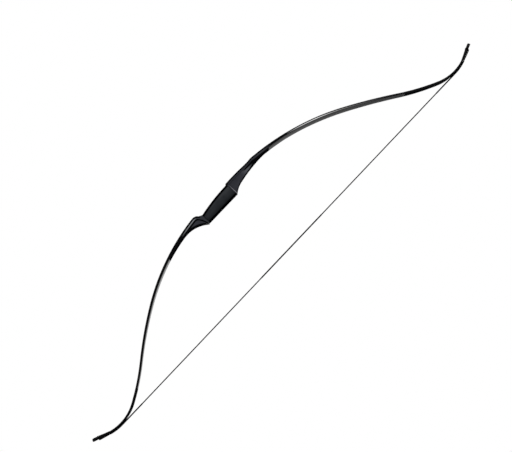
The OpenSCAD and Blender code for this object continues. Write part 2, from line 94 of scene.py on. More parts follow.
# Riser and grip
SHELF_Z, WINDOW_Y, WINDOW_H, RUNOUT_R, RUNOUT_TURN = 39.5, 3, 62, 26, 60
THROAT_W, HUMP_R, FULL_WIDTH_PAST = 34, 20, 6
GRIP_FOOT_Z, FLANGE_T, COLLAR_T, FOOT_DEPTH, COLLAR_DEPTH = 66, 3, 4, 27.8, 38.5
FRONT_R, REAR_R, GRIP_END_R, COLLAR_END_R = 11, 8, 1.6, 1.0
FOOT_W, DEPTH_RISE, DEPTH_BOW, WIDTH_RISE, WIDTH_BOW = 31, 19.2, 9.6, 3.6, 1.6
INNER_TURN, OUTER_TURN = 78, 54
# Each ramp behind the grip: (radius, turn) bends and then straight, and its lean at the corner.
UPPER_RAMP, UPPER_RAMP_LEAN = ((72, 28.5), (429, 11.7)), -40.2
LOWER_RAMP, LOWER_RAMP_LEAN = ((80, 45),), -45
RAMP_STRAIGHT, NO_BEND = 60, 1e6
# The ramp's glass starts this far along it, and the wedge steps in under it there.
GLASS_LEAD, GLASS_STEP = 8, 0.05
# The fillet where a ramp meets the limb, and how far the ramp is followed past there.
FILLET, FILLET_REACH, FILLET_RISE, RAMP_PAST = 1.2, 3, 0.35, 26
# The belly's corners are soft at the throat and small on the limb.
LIMB_ROUND, UPPER_SOFT, LOWER_SOFT, SOFT_LEN = 0.8, 2.6, 1.2, 70
WEDGE_INSET, INSET_LEAD, INSET_LEN, WEDGE_OVERLAP = 2.5, 24, 28, 0.3
# The upper wedge starts this far inside the collar, and the lower one this far above the flange.
COLLAR_OVERLAP, FLANGE_CLEAR = 1, 0.6
# The painted shade along an arris starts this far in, and the rounder front arris has the broader line of
# painted shade.
ARRIS, FRONT_SHARE = 1.5, 0.55


# Side view: a point is (x, z), and a lean is in degrees from +Z towards the string.

def arc_end(p, lean, go, r):
    """Point and lean after go mm of an arc of signed radius r."""
    after = lean + degrees(go / r)
    return ((p[0] + r * (cos(radians(lean)) - cos(radians(after))),
             p[1] + r * (sin(radians(after)) - sin(radians(lean)))), after)


def walk(arcs, u, p, lean):
    """Point and lean at u mm along a chain of (length, radius) arcs."""
    for i, (length, r) in enumerate(arcs):
        go = min(u, length) if i < len(arcs) - 1 else u
        p, lean = arc_end(p, lean, go, r)
        u -= go
        if u <= 0:
            break
    return p, lean


def lay_limb(up, front, start_z, lean, inner_len, inner_radius, outer_radius, fade):
    """A limb's side line: tangent arcs that end where the string's straight run touches the recurve."""
    led = [(inner_len, inner_radius), (OUTER_LEN, outer_radius), (EASE_LEN, -EASE_RADIUS)]
    start = (-front, start_z)
    recurve = sum(length for length, _ in led)
    contact = recurve + RECURVE_RADIUS * radians(walk(led, recurve, start, lean)[1])
    nock = contact + WRAP_LEN
    arcs = led + [(nock - THROAT_LEN - recurve, -RECURVE_RADIUS),
                  (THROAT_LEN + TIP_LEN, -TIP_RADIUS)]
    return {"up": up, "start": start, "lean": lean, "arcs": arcs, "fade": fade, "recurve": recurve,
            "contact": contact, "nock": nock, "end": nock + TIP_LEN}


UPPER = lay_limb(up=1, front=41.2, start_z=84, lean=1.9, inner_len=327, inner_radius=679, outer_radius=1618,
                 fade=92)
LOWER = lay_limb(up=-1, front=38.8, start_z=92, lean=5.7, inner_len=251, inner_radius=609, outer_radius=1059,
                 fade=54)


def spot(limb, u, off):
    """A point off the back line at station u; off is positive towards the string."""
    (x, z), lean = walk(limb["arcs"], u, limb["start"], limb["lean"])
    a = radians(lean)
    return x + off * cos(a), z - off * sin(a)


def lean_at(limb, u):
    return walk(limb["arcs"], u, limb["start"], limb["lean"])[1]


def set_down(limb, p, y):
    """A point of the side view, put y to the archer's right and on the limb's own side of the grip."""
    return Vector((p[0], y, limb["up"] * p[1])) * MM


def ease(t):
    t = max(0.0, min(1.0, t))
    return t * t * (3 - 2 * t)


def between(table, at):
    """Looks up a value between the rows of a table."""
    if at <= table[0][0]:
        return table[0][1]
    for (a, va), (b, vb) in zip(table, table[1:]):
        if at <= b:
            return va + (vb - va) * (at - a) / (b - a)
    return table[-1][1]


def thick(limb, u):
    return between([(limb["fade"], ROOT_T), (limb["fade"] + THIN_LEN, MID_T), (limb["recurve"], EASE_T),
                    (limb["contact"], TIP_T)], u)


def half_width(limb, u):
    """Half the limb's width, with the round bulb and the string's notch."""
    bulb = BULB_W / 2
    full, from_end = limb["fade"] + FULL_WIDTH_LEN, limb["end"] - bulb
    if u > from_end:
        w = sqrt(max(FLAT_SQUARED, bulb ** 2 - (u - from_end) ** 2))
    elif u > limb["nock"]:
        w = NOCK_W / 2 + (BULB_W - NOCK_W) / 2 * ease((u - limb["nock"]) / (from_end - limb["nock"]))
    elif u > full:
        w = LIMB_W / 2 + (NOCK_W - LIMB_W) / 2 * ((u - full) / (limb["nock"] - full)) ** TAPER_POWER
    else:
        w = LIMB_W / 2
    past = abs(u - limb["nock"])
    if past < NOTCH_R:
        w = min(w, NOCK_W / 2 - sqrt(NOTCH_R ** 2 - past ** 2))
    return w


def riser_half(limb, z):
    """Half the riser's width by height: narrow at the grip, wide at the limbs."""
    z0, z1 = SHELF_Z, SHELF_Z + WINDOW_H
    if limb["up"] < 0:
        z0, z1 = GRIP_FOOT_Z, LOWER["start"][1] + FULL_WIDTH_PAST
    return (THROAT_W + (LIMB_W - THROAT_W) * ease((z - z0) / (z1 - z0))) / 2


def window_side(z):
    """How far the riser reaches to the archer's left beside the sight window."""
    foot = SHELF_Z + WINDOW_H
    top = RUNOUT_R * sin(radians(RUNOUT_TURN))
    if z <= foot:
        return WINDOW_Y
    if z <= foot + top:
        return WINDOW_Y + RUNOUT_R * (1 - cos(asin((z - foot) / RUNOUT_R)))
    side = WINDOW_Y + RUNOUT_R * (1 - cos(radians(RUNOUT_TURN)))
    return side + (z - foot - top) * tan(radians(RUNOUT_TURN))


def sides(limb, u, z):
    """Reach to the archer's left and right at a station u and a height z."""
    right = min(half_width(limb, u), riser_half(limb, z))
    return (min(right, window_side(z)), right) if limb["up"] > 0 else (right, right)


# Building

# Each vertex keeps its lie, three distances that the finishes follow as X, Y and Z.
# Laminations: along the limb, across it, and deep under the back or belly. Round the hump the depth grows
# evenly to the root's thickness.
# Wedges: the height, the distance from the front, and the depth under the ramp.
# Grip and collar: the height, the distance from the throat, and how far in from an arris's black line of
# painted shade.
# String: along it, the share of a turn round it, and nothing.

def skin(name, rings, wraps=False):
    """A closed piece drawn through rings of (point, lie): each ring's edges are extruded to the next."""
    bm = bmesh.new()
    lie = bm.verts.layers.float_vector.new("lie")
    ring = [bm.verts.new(p) for p, _ in rings[0]]
    for v, (_, where) in zip(ring, rings[0]):
        v[lie] = where
    edges = first = [bm.edges.new(pair) for pair in zip(ring, ring[1:] + ring[:1])]
    for points in rings[1:]:
        grown = bmesh.ops.extrude_edge_only(bm, edges=edges)["geom"]
        fresh = {v for v in grown if isinstance(v, bmesh.types.BMVert)}
        ring = [next(e.other_vert(v) for e in v.link_edges if e.other_vert(v) in fresh) for v in ring]
        for v, (p, where) in zip(ring, points):
            v.co = p
            v[lie] = where
        edges = [e for e in grown if isinstance(e, bmesh.types.BMEdge) and fresh.issuperset(e.verts)]
    if wraps:
        bmesh.ops.bridge_loops(bm, edges=first + edges)
    else:
        bmesh.ops.holes_fill(bm, edges=[e for e in bm.edges if e.is_boundary], sides=0)
    return piece(name, bm)


def set_order(bm):
    """Puts edges and faces in the order of their corners, because extruding leaves them in any order."""
    bm.verts.index_update()
    for parts in (bm.edges, bm.faces):
        for i, part in enumerate(sorted(parts, key=lambda part: sorted(v.index for v in part.verts))):
            part.index = i
        parts.sort()


def piece(name, bm):
    """An object of a finished bmesh, smooth but for its arrises."""
    bmesh.ops.recalc_face_normals(bm, faces=bm.faces)
    set_order(bm)
    mesh = bpy.data.meshes.new(name)
    bm.to_mesh(mesh)
    bm.free()
    for face in mesh.polygons:
        face.use_smooth = True
    mesh.set_sharp_from_angle(angle=radians(SHARP_FROM))
    made = bpy.data.objects.new(name, mesh)
    bpy.context.collection.objects.link(made)
    return made


def run_of(*stretches):
    """Stations through several stretches of (from, to, step)."""
    out = []
    for a, b, step in stretches:
        n = max(1, ceil((b - a) / step))
        out += [a + (b - a) * i / n for i in range(n)]
    return out + [stretches[-1][1]]


def limb_stations(limb, first):
    """Stations from first to the tip: close over the fade, and closest in the notch."""
    fade_end, recurve, nock = limb["fade"] + 20, limb["recurve"], limb["nock"]
    return run_of((first, fade_end, 3), (fade_end, recurve, 6), (recurve, nock - 4, 2),
                  (nock - 4, nock + 4, 0.4), (nock + 4, limb["end"] - 0.3, 0.8))


def rounded(low, high, left, right, r_low, r_high, n=3):
    """Corner points of a band, going round: (across, off), with its low and high corners rounded."""
    out = []
    for cx, sx, cy, sy, r in ((-left, 1, low, 1, r_low), (right, -1, low, 1, r_low),
                              (right, -1, high, -1, r_high), (-left, 1, high, -1, r_high)):
        turn = range(n + 1) if sx == sy else range(n, -1, -1)
        for i in turn:
            a = radians(90 * i / n)
            out.append((cx + sx * r * (1 - cos(a)), cy + sy * r * (1 - sin(a))))
    return out


def inset(depth, r):
    """How far a corner of radius r stands in, at a depth under its face."""
    return r - sqrt(max(0.0, r * r - max(0.0, r - depth) ** 2))


# Limbs: back glass, core and belly glass run from the riser to the tip in one piece each

def hump(r, turn, n=13):
    """The lower hump's nose, from the flange round to the start of the limb."""
    c = spot(LOWER, 0, HUMP_R)
    turns = [radians(LOWER["lean"] - turn * (1 - i / n)) for i in range(n)]
    return [(c[0] - r * cos(a), c[1] + r * sin(a)) for a in turns]


def flange():
    """The band's outer and inner lines under the grip's foot, from its rear corner."""
    tip, outer_tip = hump(HUMP_R - ROOT_T, INNER_TURN)[0], hump(HUMP_R, OUTER_TURN)[0]
    rows, straight = 8, 5
    out = []
    for i in range(rows + 1):
        s, past = i / rows, max(0, (i - straight) / (rows - straight))
        out.append(((-FOOT_DEPTH * min(1, i / straight) + (outer_tip[0] + FOOT_DEPTH) * past,
                     GRIP_FOOT_Z + (outer_tip[1] - GRIP_FOOT_Z) * past),
                    (tip[0] * s, GRIP_FOOT_Z + FLANGE_T + (tip[1] - GRIP_FOOT_Z - FLANGE_T) * s)))
    return out


def back_pairs(limb):
    """Rows of (u, back point, belly point): over the hump on the lower limb, then along the limb."""
    rows, first = [], -UPPER_LEAD
    if limb["up"] < 0:
        nose = list(zip(hump(HUMP_R, OUTER_TURN), hump(HUMP_R - ROOT_T, INNER_TURN)))
        lead = flange() + nose[1:]
        rows = [(-LEAD_STEP * (len(lead) - i), a, b) for i, (a, b) in enumerate(lead)]
        first = 0
    for u in limb_stations(limb, first):
        rows.append((u, spot(limb, u, 0), spot(limb, u, thick(limb, u))))
    return rows


def lamination(name, limb, top, bottom, r_top, r_bottom, first=None, slack=0.0):
    """One layer, between depths under the back face. A negative depth counts from the belly face."""
    rings = []
    for u, back, belly in back_pairs(limb):
        if first is not None and u < first:
            continue
        t = hypot(belly[0] - back[0], belly[1] - back[1])
        a, b = (top if top >= 0 else t + top), (bottom if bottom > 0 else t + bottom)
        left, right = sides(limb, u, (back[1] + belly[1]) / 2)
        ring = []
        for y, off in rounded(a, b, left - slack, right - slack, r_top, r_bottom):
            s = off / t
            p = (back[0] + (belly[0] - back[0]) * s, back[1] + (belly[1] - back[1]) * s)
            through = s * ROOT_T if u < 0 else off
            ring.append((set_down(limb, p, y), (u * MM, y * MM, through * MM)))
        rings.append(ring)
    return skin(name, rings)


def ramp_arcs(limb):
    """The wedge's rear face, from the grip's corner out along the limb: its arcs, corner and lean."""
    bends, corner, lean = UPPER_RAMP, (0, SHELF_Z), UPPER_RAMP_LEAN
    if limb["up"] < 0:
        bends, corner, lean = LOWER_RAMP, (0, GRIP_FOOT_Z + FLANGE_T), LOWER_RAMP_LEAN
    return [(r * radians(turn), r) for r, turn in bends] + [(RAMP_STRAIGHT, NO_BEND)], corner, lean


def belly_line(limb):
    """The belly from the ramp's corner to the tip, eased where ramp and limb meet: rows of (z, x, u),
    and the height where they meet."""
    arcs, corner, lean = ramp_arcs(limb)
    ramp, limb_side = [], []
    for s in run_of((0, 30, 1), (30, 150, 2)):
        x, z = walk(arcs, s, corner, lean)[0]
        ramp.append((z, x))
    for u in limb_stations(limb, 0):
        x, z = spot(limb, u, thick(limb, u))
        limb_side.append((z, x, u))
    by_z = [(z, x) for z, x, _ in limb_side]
    u_by_z = [(z, u) for z, _, u in limb_side]
    foot = by_z[0][0]
    meet = next(z for z, x in ramp if z > foot and x <= between(by_z, z))
    rows = []
    for z, x in ramp:
        if z > meet + RAMP_PAST:
            break
        if z < foot:
            rows.append((z, x, z - foot))
            continue
        limb_x = between(by_z, z)
        gap, top = abs(x - limb_x), max(x, limb_x)
        if gap < FILLET * FILLET_REACH:
            top += FILLET * (1 - gap / FILLET / FILLET_REACH) ** 2 * FILLET_RISE
        rows.append((z, top, between(u_by_z, z)))
    last = rows[-1][0]
    rows += [row for row in limb_side if row[0] > last + 1]
    return rows, meet


def ramp_round(limb, z, meet):
    """Radius of the belly's corners: soft at the throat, small on the limb."""
    soft = UPPER_SOFT if limb["up"] > 0 else LOWER_SOFT
    return LIMB_ROUND + soft * (1 - ease((z - meet + SOFT_LEN) / SOFT_LEN))


def wedge_slack(limb, z, meet):
    """How far the lower wedge's sides stand in from the band's edges."""
    return 0 if limb["up"] > 0 else WEDGE_INSET * (1 - ease((z - meet + INSET_LEAD) / INSET_LEN))


def belly_glass(name, limb):
    """The glass from the ramp to the tip in one piece."""
    rows, meet = belly_line(limb)
    arcs, corner, lean = ramp_arcs(limb)
    start = walk(arcs, GLASS_LEAD, corner, lean)[0][1]
    rows = [r for r in rows if r[0] >= start]
    rings = []
    for i, (z, x, u) in enumerate(rows):
        (z0, x0, _), (z1, x1, _) = rows[max(0, i - 1)], rows[min(len(rows) - 1, i + 1)]
        a = atan2(x1 - x0, z1 - z0)
        left, right = sides(limb, u, z)
        slack, r = wedge_slack(limb, z, meet), ramp_round(limb, z, meet)
        ring = []
        depths = [0, 0.08, 0.22, 0.45, GLASS_T]
        for side, reach in ((1, right - slack), (-1, left - slack)):
            for d in depths if side > 0 else depths[::-1]:
                y = side * max(FLAT_HALF, reach - inset(d, r))
                p = (x - d * cos(a), z + d * sin(a))
                ring.append((set_down(limb, p, y), (u * MM, y * MM, d * MM)))
        rings.append(ring)
    return skin(name, rings)


def wedge(name, limb):
    """The riser's wedge, sliced by height between the band's inner face and the glass on the ramp."""
    rows, meet = belly_line(limb)
    rear = [(z, x) for z, x, _ in rows]
    if limb["up"] > 0:
        front = [(z, x) for x, z in (spot(limb, u, ROOT_T) for u in run_of((-50, 100, 3)))]
        foot = SHELF_Z - COLLAR_OVERLAP
    else:
        under = [(b[1], b[0]) for _, b in flange()]
        nose = [(p[1], p[0]) for p in hump(HUMP_R - ROOT_T, INNER_TURN)[1:]]
        band = [(z, x) for x, z in (spot(limb, u, ROOT_T) for u in run_of((0, 80, 3)))]
        front = sorted(under + nose + band)
        foot = GRIP_FOOT_Z + FLANGE_T + FLANGE_CLEAR
    arcs, corner, lean = ramp_arcs(limb)
    glass_z = walk(arcs, GLASS_LEAD, corner, lean)[0][1]
    rings = []
    for z in run_of((foot, glass_z - GLASS_STEP, 0.8), (glass_z, meet - 2, 2.5)):
        d0 = HAIR if z < glass_z else GLASS_T
        x_rear, x_front = between(rear, z), between(front, z) - WEDGE_OVERLAP
        depth = x_rear - x_front
        if depth < GLASS_T + WEDGE_OVERLAP:
            if rings:
                break
            continue
        left, right = sides(limb, z - limb["start"][1], z)
        slack, r = wedge_slack(limb, z, meet), min(ramp_round(limb, z, meet), depth * 0.8)
        ring = []
        deeps = [d0 + (max(r, d0 + 0.1) - d0) * i / 5 for i in range(6)] + [depth]
        for side, reach in ((1, right - slack), (-1, left - slack)):
            for d in deeps if side > 0 else deeps[::-1]:
                y = side * (reach - inset(d, r))
                lie = (limb["up"] * z * MM, (depth - d) * MM, d * MM)
                ring.append((set_down(limb, (x_rear - d, z), y), lie))
        rings.append(ring)
    return skin(name, rings)


def overlay(name, limb):
    """The hard overlay on the back of the tip, with a long ramp, the string's groove and a rounded nose."""
    nock, end = limb["nock"], limb["end"]
    start, groove_r = nock - OVERLAY_LEAD, LOOP_R + CORD_GAP
    depths = [(start, OVERLAY_EDGE), (start + OVERLAY_RAMP, OVERLAY_T), (end - OVERLAY_T, OVERLAY_T),
              (end, OVERLAY_T / 2)]
    rings = []
    for u in run_of((start, nock - 4, 1), (nock - 4, nock + 4, 0.3), (nock + 4, end - 0.3, 0.8)):
        t, w, past = between(depths, u), half_width(limb, u), abs(u - nock)
        if past < groove_r:
            t = min(t, -LOOP_BACK - sqrt(groove_r ** 2 - past ** 2))
        r = min(OVERLAY_ROUND, t * 0.6, w * 0.5)
        rings.append([(set_down(limb, spot(limb, u, off), y), (u * MM, y * MM, off * MM))
                      for y, off in rounded(-t, OVERLAY_SINK, w, w, r, SEAM_ROUND)])
    return skin(name, rings)


# Grip, and the collar that carries the arrow shelf

def plan(depth, w, n=6):
    """A level outline with rounded corners: (x, y), from the throat's left corner round."""
    corners = ((-REAR_R, w / 2 - REAR_R, REAR_R), (-depth + FRONT_R, w / 2 - FRONT_R, FRONT_R),
               (-depth + FRONT_R, -w / 2 + FRONT_R, FRONT_R), (-REAR_R, -w / 2 + REAR_R, REAR_R))
    out = []
    for quarter, (cx, cy, r) in enumerate(corners):
        for i in range(n + 1):
            a = radians(90 * quarter + 90 * i / n)
            out.append((cx + r * cos(a), cy + r * sin(a)))
    return out


def stack(name, levels, r, outline):
    """A piece stacked from level outlines, which stand in at its rounded top and bottom edges."""
    low, high = levels[0], levels[-1]
    rings = []
    for z in levels:
        d = inset(min(z - low, high - z), r)
        ring, points = [], outline(z)
        depth = -min(x for x, _ in points)
        cx = -depth / 2
        for x, y in points:
            away = hypot(x - cx, y)
            f = 1 - d / away
            edge = min(-x, FRONT_SHARE * (x + depth)) - ARRIS
            ring.append((Vector((cx + (x - cx) * f, y * f, z)) * MM, (z * MM, -x * MM, edge * MM)))
        rings.append(ring)
    return skin(name, rings)


def grip_outline(z):
    """The grip's outline by height: slim at the foot, and deepest and widest under the collar."""
    top, foot = SHELF_Z - COLLAR_T, -GRIP_FOOT_Z
    t = (z - foot) / (top - foot)
    depth = FOOT_DEPTH + DEPTH_RISE * t - DEPTH_BOW * t * t
    w = FOOT_W + WIDTH_RISE * t - WIDTH_BOW * t * t
    return plan(depth, w)


def make_grip():
    top, foot = SHELF_Z - COLLAR_T, -GRIP_FOOT_Z
    levels = run_of((foot, foot + 2, 0.4), (foot + 2, top - 1.2, 3), (top - 1.2, top, 0.3))
    return stack("grip", levels, GRIP_END_R, grip_outline)


def make_collar():
    low, high = SHELF_Z - COLLAR_T, SHELF_Z
    levels = run_of((low, low + 1, 0.2), (low + 1, high - 1.2, 1), (high - 1.2, high, 0.2))
    return stack("shelf_collar", levels, COLLAR_END_R, lambda z: plan(COLLAR_DEPTH, THROAT_W))


# String: each half runs from the throat of its loop, over the recurve, to the nocking point

def recurve_centre(limb):
    return spot(limb, limb["recurve"], -RECURVE_RADIUS)


WRAP_R = RECURVE_RADIUS + TIP_T + CORD_GAP + SERVING_R
WRAPPED = (WRAP_LEN - THROAT_LEN) / RECURVE_RADIUS * WRAP_R
upper_centre, lower_centre = recurve_centre(UPPER), recurve_centre(LOWER)
TILT = atan2(upper_centre[0] - lower_centre[0], upper_centre[1] + lower_centre[1])


def string_point(limb, s):
    """Point and outward direction of the string in the side view, s mm from the throat of the loop."""
    c = recurve_centre(limb)
    a0 = -limb["up"] * TILT
    if s < WRAPPED:
        a = a0 + (WRAPPED - s) / WRAP_R
        return (c[0] + WRAP_R * cos(a), c[1] + WRAP_R * sin(a)), (cos(a), sin(a))
    x, z = c[0] + WRAP_R * cos(a0), c[1] + WRAP_R * sin(a0)
    go = s - WRAPPED
    return (x + go * sin(a0), z - go * cos(a0)), (cos(a0), sin(a0))


def string_len(limb):
    """Length of the string from the loop's throat to the nocking point."""
    return WRAPPED + recurve_centre(limb)[1] - limb["up"] * NOCKING_Z


def round_string(name, limb, stations, n, radius):
    """A length of string. radius(s, a) gives its surface, s mm along and a degrees round."""
    rings = []
    for s in stations:
        (x, z), out = string_point(limb, s)
        ring = []
        for i in range(n):
            a = 360 * i / n
            r = radius(s, a)
            off, y = r * cos(radians(a)), r * sin(radians(a))
            ring.append((set_down(limb, (x + off * out[0], z + off * out[1]), y), (s * MM, a / 360, 0)))
        rings.append(ring)
    return skin(name, rings)


def strands(s, a):
    """Bundles of strands, twisted together."""
    turned = a + 360 * s / STRAND_TWIST
    return STRAND_R * (STRAND_VALLEY + STRAND_CROWN * abs(cos(radians(STRAND_BUNDLES / 2 * turned))) ** 0.7)


def wound(start, stop):
    """Serving thread, wound close and rounded off at both ends of the serving."""
    def radius(s, a):
        thread = SERVING_R - THREAD_DEPTH * (1 - abs(cos(pi * s / THREAD_PITCH + radians(a) / 2)))
        return thread - inset(min(s - start, stop - s) + HAIR, SERVING_END_R)
    return radius


def route_of_loop(limb):
    """The loop's legs along the belly, down through the notches and over the overlay, and round again."""
    y, belly = NOCK_W / 2, TIP_T + CORD_GAP + LOOP_R
    half = [(-THROAT_LEN + 2, LOOP_R * 0.8, belly), (-THROAT_LEN / 2, y * 0.62, belly),
            (-2.5, y * 0.93, belly), (-0.6, y, belly - 0.5), (0, y, TIP_T - 0.5), (0, y, LOOP_BACK + 2),
            (0, y - 0.5, LOOP_BACK + 0.5), (0, y - 2, LOOP_BACK)]
    route = half + [(a, -b, c) for a, b, c in half[::-1]]
    points = [set_down(limb, spot(limb, limb["nock"] + a, c), b) for a, b, c in route]
    smooth, pull = [], 0.25
    n = len(points)
    for i in range(n):
        p0, p1, p2, p3 = (points[(i + k) % n] for k in (-1, 0, 1, 2))
        steps = max(2, ceil((p2 - p1).length / MM / (THREAD_PITCH / 4)))
        for k in range(steps):
            t = k / steps
            m1, m2 = (p2 - p0) * pull, (p3 - p1) * pull
            h = (2 * t ** 3 - 3 * t ** 2 + 1, t ** 3 - 2 * t ** 2 + t,
                 -2 * t ** 3 + 3 * t ** 2, t ** 3 - t ** 2)
            smooth.append(p1 * h[0] + m1 * h[1] + p2 * h[2] + m2 * h[3])
    return smooth


def string_loop(name, limb, n=12):
    """The served loop, a closed ring of wound thread along its route."""
    route = route_of_loop(limb)
    lean = radians(lean_at(limb, limb["nock"]))
    ref = Vector((cos(lean) + sin(lean), 0, limb["up"] * (cos(lean) - sin(lean)))).normalized()
    rings, run = [], 0
    total = sum((route[i] - route[i - 1]).length for i in range(len(route)))
    turns = round(total / MM / THREAD_PITCH)
    for i, p in enumerate(route):
        along = (route[(i + 1) % len(route)] - route[i - 1]).normalized()
        out = along.cross(ref).normalized()
        over = out.cross(along)
        ring = []
        for j in range(n):
            a = 2 * pi * j / n
            r = (LOOP_R - THREAD_DEPTH * (1 - abs(cos(pi * turns * run / total + a / 2)))) * MM
            ring.append((p + out * (r * cos(a)) + over * (r * sin(a)), (run, j / n, 0)))
        rings.append(ring)
        run += (route[(i + 1) % len(route)] - p).length
    return skin(name, rings, wraps=True)


# Finishes

# Most of a noise pattern lies between these values.
NOISE_LOW, NOISE_HIGH = 0.3, 0.7
# The black painted for shade along arrises and in seams.
PAINTED_SHADE_BLACK = "#020203"


def linear(hex_code):
    """An sRGB hex colour as linear red, green, blue and alpha."""
    parts = [int(hex_code[i:i + 2], 16) / 255 for i in (1, 3, 5)]
    return tuple(c / 12.92 if c <= 0.04045 else ((c + 0.055) / 1.055) ** 2.4 for c in parts) + (1,)


def add(tree, kind, settings=(), feeds=(), stops=()):
    """Adds a node, gives it its settings, and feeds its inputs with values or links. stops are the colours
    of a ramp, each a (place, hex code)."""
    node = tree.nodes.new(kind)
    for key, value in dict(settings).items():
        setattr(node, key, value)
    for key, value in dict(feeds).items():
        if isinstance(value, bpy.types.NodeSocket):
            tree.links.new(value, node.inputs[key])
        else:
            node.inputs[key].default_value = value
    for _ in stops[2:]:
        node.color_ramp.elements.new(0.5)
    for i, (place, code) in enumerate(stops):
        node.color_ramp.elements[i].position = place
        node.color_ramp.elements[i].color = linear(code)
    return node


def blank_finish(name):
    """A new material and its empty node tree."""
    mat = bpy.data.materials.new(name)
    mat.use_nodes = True
    mat.node_tree.nodes.clear()
    return mat, mat.node_tree


def start_finish(name, roughness, specular):
    """A new material, its node tree and its surface."""
    mat, tree = blank_finish(name)
    surface = add(tree, "ShaderNodeBsdfPrincipled", feeds={
        "Roughness": roughness, "IOR": 1.5, "Specular IOR Level": specular})
    add(tree, "ShaderNodeOutputMaterial", feeds={"Surface": surface.outputs["BSDF"]})
    return mat, tree, surface


def pattern_place(tree, size, lie=True):
    """Coordinates in which one unit is a size in mm: along, across and through the piece by its lie, and
    otherwise along the bow's own axes."""
    if lie:
        place = add(tree, "ShaderNodeAttribute", {"attribute_name": "lie"}).outputs["Vector"]
    else:
        place = add(tree, "ShaderNodeTexCoord").outputs["Object"]
    return add(tree, "ShaderNodeMapping", feeds={
        "Vector": place, "Scale": tuple(1 / (s * MM) for s in size)}).outputs["Vector"]


def flecked(tree, size, detail, *shades, rough=0.5, lie=True):
    """A pattern of flecks of a size in mm, and after it the tone that it gives each pair of hex codes."""
    flecks = add(tree, "ShaderNodeTexNoise", feeds={
        "Vector": pattern_place(tree, size, lie), "Scale": 1.0, "Detail": detail, "Roughness": rough})
    made = [flecks.outputs["Fac"]]
    for dark, light in shades:
        ramp = add(tree, "ShaderNodeValToRGB", feeds={"Fac": made[0]}, stops=[
            (NOISE_LOW, dark), (NOISE_HIGH, light)])
        made.append(ramp.outputs["Color"])
    return made


def lie_part(tree, axis):
    """One of the three distances of the lie."""
    lie = add(tree, "ShaderNodeAttribute", {"attribute_name": "lie"}).outputs["Vector"]
    return add(tree, "ShaderNodeSeparateXYZ", feeds={"Vector": lie}).outputs[axis]


def stretch(tree, axis, start, end):
    """Runs smoothly from 0 to 1 between two distances in mm of the lie."""
    low, high = min(start, end), max(start, end)
    ends = {"To Min": 0.0, "To Max": 1.0} if start < end else {"To Min": 1.0, "To Max": 0.0}
    return add(tree, "ShaderNodeMapRange", {"interpolation_type": "SMOOTHSTEP"}, {
        "Value": lie_part(tree, axis), "From Min": low * MM, "From Max": high * MM, **ends}).outputs["Result"]


def laid_over(tree, under, over, *stretches):
    """Lays one tone over another where every (axis, start, end) stretch is full. A tone is a socket or a
    hex code."""
    share = stretch(tree, *stretches[0])
    for more in stretches[1:]:
        both = add(tree, "ShaderNodeMath", {"operation": "MULTIPLY"}, {0: share, 1: stretch(tree, *more)})
        share = both.outputs[0]
    under, over = (linear(tone) if isinstance(tone, str) else tone for tone in (under, over))
    return add(tree, "ShaderNodeMix", {"data_type": "RGBA"}, {0: share, 6: under, 7: over}).outputs[2]


def finish_off(tree, surface, tone, gloss=None, relief=None):
    """Gives a surface its tone, its roughness by (pattern, low, high), and its relief by (pattern, height in
    mm, strength)."""
    tree.links.new(tone, surface.inputs["Base Color"])
    if gloss:
        pattern, low, high = gloss
        rough = add(tree, "ShaderNodeMapRange", feeds={
            "Value": pattern, "From Min": NOISE_LOW, "From Max": NOISE_HIGH, "To Min": low, "To Max": high})
        tree.links.new(rough.outputs["Result"], surface.inputs["Roughness"])
    if relief:
        pattern, height, strength = relief
        bump = add(tree, "ShaderNodeBump", feeds={
            "Height": pattern, "Distance": height * MM, "Strength": strength})
        tree.links.new(bump.outputs["Normal"], surface.inputs["Normal"])


def glass_laminate(name, gloss, specular):
    """Black glass fibre laminate: fibres lie lengthwise under resin, and draw the shine out into fine
    streaks. It is polished on the limbs, and sprayed satin black beside the riser and at the tips.
    Single fibres are too fine to show, and are drawn as bundles 0.6 mm across."""
    mat, tree, surface = start_finish(name, gloss, specular)
    fibres, tone = flecked(tree, (35, 0.6, 0.6), 3.0, ("#040405", "#0c0d0f"), rough=0.6)
    patches = flecked(tree, (60, 9, 9), 2.0)[0]
    finish_off(tree, surface, tone, (patches, gloss * 0.8, gloss * 1.3), (fibres, 0.02, 0.4))
    return mat


# Places on the limbs' edges, in mm from where a tone starts to where it is full: the black painted shade
# inside the belly's arris, the pale painted highlight, and the hump's nose, up to which the back has no
# painted shade
BELLY_LINE_DEEP, HIGHLIGHT_DEEP, PAST_NOSE = (ROOT_T - 2.1, ROOT_T - 1.3), (5.1, 4.6), (-66, -60)
# The back's black line of painted shade is thin far along the limb and broad beside the riser.
THIN_LINE_DEEP, THIN_LINE_END, BROAD_LINE_END, LINE_SOFT = 3.1, 400, 100, 0.3
BELLY_FADE_IN, BELLY_FADE_OUT, BACK_FADE, HIGHLIGHT_FADE = 4, 8, 10, 1


